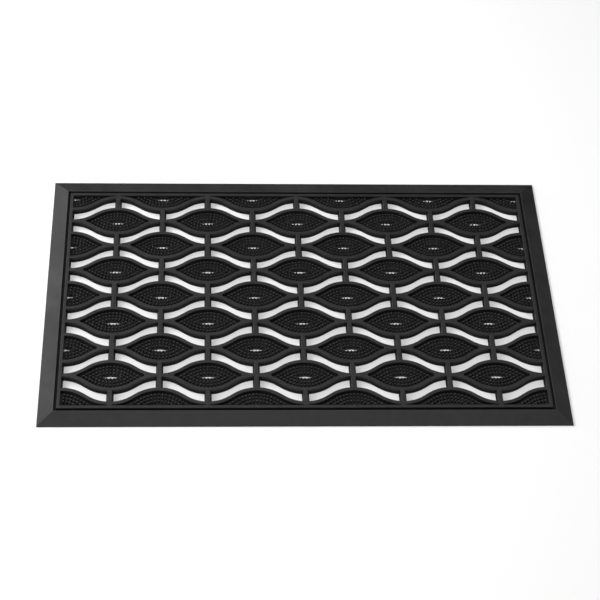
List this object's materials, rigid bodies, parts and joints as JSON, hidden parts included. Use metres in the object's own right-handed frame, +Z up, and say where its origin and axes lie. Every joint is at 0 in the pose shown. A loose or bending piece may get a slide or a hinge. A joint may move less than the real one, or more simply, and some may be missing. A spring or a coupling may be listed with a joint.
{
  "type": "rubber door mat",
  "caption": "Rectangular moulded rubber scraper mat with a bevelled edge, wavy ribs joined by tie bars, open slots and eye-shaped cells filled with short pins.",
  "frame": {"origin": "middle of the flat underside, on the surface that the mat lies on", "axes": "+X along the mat's length, +Y across its width, +Z up through its thickness"},
  "size_m": [0.75, 0.45, 0.008],
  "materials": {
    "edge_rubber": "smooth matt black rubber, faintly mottled, scuffed at the crest",
    "rib_rubber": "satin black rubber, worn grey along the top edges",
    "floor_rubber": "dull black rubber",
    "pin_rubber": "matt black rubber with paler tips"
  },
  "bodies": {
    "root": {"edge_ramp_front": "edge_rubber", "edge_ramp_back": "edge_rubber", "edge_ramp_left": "edge_rubber", "edge_ramp_right": "edge_rubber", "drain_channel_front": "floor_rubber", "drain_channel_back": "floor_rubber", "drain_channel_left": "floor_rubber", "drain_channel_right": "floor_rubber", "rim_front": "rib_rubber", "rim_back": "rib_rubber", "rim_left": "rib_rubber", "rim_right": "rib_rubber", "wave_rib_01": "rib_rubber", "wave_rib_02": "rib_rubber", "wave_rib_03": "rib_rubber", "wave_rib_04": "rib_rubber", "wave_rib_05": "rib_rubber", "wave_rib_06": "rib_rubber", "wave_rib_07": "rib_rubber", "wave_rib_08": "rib_rubber", "wave_rib_09": "rib_rubber", "wave_rib_10": "rib_rubber", "wave_rib_11": "rib_rubber", "wave_rib_12": "rib_rubber", "wave_rib_13": "rib_rubber", "wave_rib_14": "rib_rubber", "wave_rib_15": "rib_rubber", "wave_rib_16": "rib_rubber", "tie_bars_slot_1": "rib_rubber", "tie_bars_slot_2": "rib_rubber", "tie_bars_slot_3": "rib_rubber", "tie_bars_slot_4": "rib_rubber", "tie_bars_slot_5": "rib_rubber", "tie_bars_slot_6": "rib_rubber", "tie_bars_slot_7": "rib_rubber", "tie_bars_slot_8": "rib_rubber", "rim_ties_front": "rib_rubber", "rim_ties_back": "rib_rubber", "slot_ledges_1": "floor_rubber", "slot_ledges_2": "floor_rubber", "slot_ledges_3": "floor_rubber", "slot_ledges_4": "floor_rubber", "slot_ledges_5": "floor_rubber", "slot_ledges_6": "floor_rubber", "slot_ledges_7": "floor_rubber", "slot_ledges_8": "floor_rubber", "eye_floors_row_1": "floor_rubber", "eye_floors_row_2": "floor_rubber", "eye_floors_row_3": "floor_rubber", "eye_floors_row_4": "floor_rubber", "eye_floors_row_5": "floor_rubber", "eye_floors_row_6": "floor_rubber", "eye_floors_row_7": "floor_rubber", "eye_floors_row_8": "floor_rubber", "eye_floors_row_9": "floor_rubber", "scraper_pins_row_1": "pin_rubber", "scraper_pins_row_2": "pin_rubber", "scraper_pins_row_3": "pin_rubber", "scraper_pins_row_4": "pin_rubber", "scraper_pins_row_5": "pin_rubber", "scraper_pins_row_6": "pin_rubber", "scraper_pins_row_7": "pin_rubber", "scraper_pins_row_8": "pin_rubber", "scraper_pins_row_9": "pin_rubber"}
  },
  "joints": []
}
